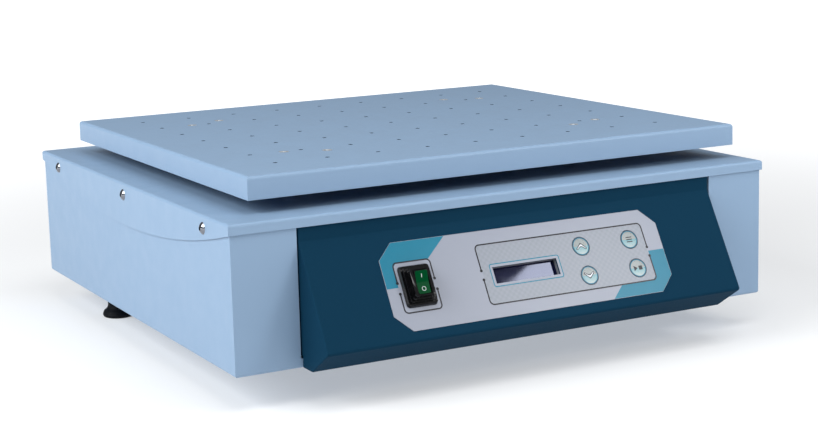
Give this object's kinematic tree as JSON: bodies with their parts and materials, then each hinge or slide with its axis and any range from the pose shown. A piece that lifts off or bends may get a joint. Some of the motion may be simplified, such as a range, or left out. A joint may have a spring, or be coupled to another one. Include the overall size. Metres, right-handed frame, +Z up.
{
  "type": "orbital shaker",
  "caption": "Bench-top laboratory orbital shaker: low folded casing on levelling feet, sloping control console and a flat perforated platform that runs in a small circle.",
  "frame": {"origin": "on the bench under the middle of the machine's overall outline", "axes": "+Z up, +X to the machine's right-hand side, +Y to its back; the console faces -Y"},
  "size_m": [0.5484, 0.5528, 0.1927],
  "materials": {
    "casing_paint": "satin pale blue powder coat",
    "console_paint": "semi-gloss dark teal paint",
    "panel_print": "printed polyester membrane, fine satin grain",
    "key_print": "printed polyester key, satin",
    "collar_black": "glossy moulded black",
    "rocker_green": "translucent green, glossy",
    "switch_nylon": "black nylon",
    "display_glass": "dark blue liquid-crystal glass",
    "display_frame": "black stamped frame",
    "circuit_board": "green solder mask",
    "bright_screw": "polished stainless",
    "zinc_steel": "zinc-plated steel",
    "machined_steel": "turned and ground steel",
    "bearing_steel": "ground bearing steel",
    "cast_aluminium": "cast and machined",
    "weight_iron": "machined grey iron",
    "motor_paint": "black enamel",
    "seal_rubber": "matt black rubber",
    "belt_rubber": "black woven-back belt",
    "foot_rubber": "matt black rubber",
    "supply_case": "perforated sheet",
    "inlet_black": "moulded black thermoplastic",
    "pin_brass": "nickelled brass",
    "fuse_glass": "glass tube",
    "cable_black": "black cable sheath",
    "ribbon_grey": "grey flat cable"
  },
  "bodies": {
    "casing": {"base_tray": "casing_paint", "top_cover": "casing_paint", "cover_screws": "bright_screw", "shaft_seals": "seal_rubber", "console_shell": "console_paint", "console_screws": "zinc_steel", "front_overlay": "panel_print", "keypad_board": "circuit_board", "tact_switches": "switch_nylon", "display_bezel": "display_frame", "display_glass": "display_glass", "display_board": "circuit_board", "switch_guard": "collar_black", "switch_body": "switch_nylon", "chassis_plate": "zinc_steel", "chassis_posts": "zinc_steel", "plate_screws": "zinc_steel", "main_bearing_housing": "cast_aluminium", "main_bearings": "bearing_steel", "corner_bearing_housings": "cast_aluminium", "corner_bearings": "bearing_steel", "motor_body": "motor_paint", "drive_belt": "belt_rubber", "speed_sensor": "circuit_board", "power_supply": "supply_case", "control_board": "circuit_board", "board_spacers": "zinc_steel", "power_inlet": "inlet_black", "inlet_pins": "pin_brass", "mains_lead": "cable_black", "switch_lead": "cable_black", "motor_lead": "cable_black", "display_ribbon": "ribbon_grey", "foot_nuts": "zinc_steel"},
    "main_crank": {"main_shaft": "machined_steel", "driven_pulley": "cast_aluminium", "counterweight": "weight_iron", "eccentric_hub": "machined_steel"},
    "platform": {"platform_tray": "casing_paint", "platform_carrier": "cast_aluminium", "carrier_housings": "cast_aluminium", "carrier_bearings": "bearing_steel", "platform_screws": "bright_screw"},
    "crank_front_left": {"crank_front_left": "machined_steel"},
    "crank_front_right": {"crank_front_right": "machined_steel"},
    "crank_rear_left": {"crank_rear_left": "machined_steel"},
    "crank_rear_right": {"crank_rear_right": "machined_steel"},
    "motor_rotor": {"motor_shaft": "machined_steel", "motor_pulley": "cast_aluminium"},
    "rocker": {"power_rocker": "rocker_green"},
    "key_up": {"key_up": "key_print"},
    "key_down": {"key_down": "key_print"},
    "key_set": {"key_set": "key_print"},
    "key_start": {"key_start": "key_print"},
    "fuse_holder": {"fuse_drawer": "inlet_black", "fuse": "fuse_glass"},
    "foot_front_left": {"foot_front_left": "foot_rubber"},
    "foot_front_right": {"foot_front_right": "foot_rubber"},
    "foot_rear_left": {"foot_rear_left": "foot_rubber"},
    "foot_rear_right": {"foot_rear_right": "foot_rubber"}
  },
  "joints": [
    {"name": "main_spin", "type": "hinge", "parent": "casing", "child": "main_crank", "pos_m": [0, 0.02253, 0.132], "axis": [0, 0, 1], "continuous": true},
    {"name": "platform_orbit", "type": "hinge", "parent": "main_crank", "child": "platform", "pos_m": [0.00886, 0.0179, 0.179], "axis": [0, 0, 1], "continuous": true},
    {"name": "crank_front_left_spin", "type": "hinge", "parent": "casing", "child": "crank_front_left", "pos_m": [-0.15, -0.09647, 0.132], "axis": [0, 0, 1], "continuous": true},
    {"name": "crank_front_right_spin", "type": "hinge", "parent": "casing", "child": "crank_front_right", "pos_m": [0.15, -0.09647, 0.132], "axis": [0, 0, 1], "continuous": true},
    {"name": "crank_rear_left_spin", "type": "hinge", "parent": "casing", "child": "crank_rear_left", "pos_m": [-0.15, 0.14153, 0.132], "axis": [0, 0, 1], "continuous": true},
    {"name": "crank_rear_right_spin", "type": "hinge", "parent": "casing", "child": "crank_rear_right", "pos_m": [0.15, 0.14153, 0.132], "axis": [0, 0, 1], "continuous": true},
    {"name": "motor_spin", "type": "hinge", "parent": "casing", "child": "motor_rotor", "pos_m": [0, 0.17253, 0.132], "axis": [0, 0, 1], "continuous": true},
    {"name": "rocker_tilt", "type": "hinge", "parent": "casing", "child": "rocker", "pos_m": [-0.1131, -0.2616, 0.09852], "axis": [-1, 0, 0], "range_deg": [0, 18]},
    {"name": "key_up_press", "type": "slide", "parent": "casing", "child": "key_up", "axis": [0, 0.8681, -0.4965], "range_m": [0, 0.0006], "stiffness_N_per_m": 800},
    {"name": "key_down_press", "type": "slide", "parent": "casing", "child": "key_down", "axis": [0, 0.8681, -0.4965], "range_m": [0, 0.0006], "stiffness_N_per_m": 800},
    {"name": "key_set_press", "type": "slide", "parent": "casing", "child": "key_set", "axis": [0, 0.8681, -0.4965], "range_m": [0, 0.0006], "stiffness_N_per_m": 800},
    {"name": "key_start_press", "type": "slide", "parent": "casing", "child": "key_start", "axis": [0, 0.8681, -0.4965], "range_m": [0, 0.0006], "stiffness_N_per_m": 800},
    {"name": "fuse_drawer_pull", "type": "slide", "parent": "casing", "child": "fuse_holder", "axis": [0, 1, 0], "range_m": [0, 0.018]},
    {"name": "foot_front_left_level", "type": "slide", "parent": "casing", "child": "foot_front_left", "axis": [0, 0, -1], "range_m": [-0.006, 0.008]},
    {"name": "foot_front_right_level", "type": "slide", "parent": "casing", "child": "foot_front_right", "axis": [0, 0, -1], "range_m": [-0.006, 0.008]},
    {"name": "foot_rear_left_level", "type": "slide", "parent": "casing", "child": "foot_rear_left", "axis": [0, 0, -1], "range_m": [-0.006, 0.008]},
    {"name": "foot_rear_right_level", "type": "slide", "parent": "casing", "child": "foot_rear_right", "axis": [0, 0, -1], "range_m": [-0.006, 0.008]}
  ],
  "couplings": [
    {"joint": "platform_orbit", "follows": "main_spin", "ratio": -1},
    {"joint": "crank_front_left_spin", "follows": "main_spin", "ratio": 1},
    {"joint": "crank_front_right_spin", "follows": "main_spin", "ratio": 1},
    {"joint": "crank_rear_left_spin", "follows": "main_spin", "ratio": 1},
    {"joint": "crank_rear_right_spin", "follows": "main_spin", "ratio": 1},
    {"joint": "motor_spin", "follows": "main_spin", "ratio": 4}
  ]
}
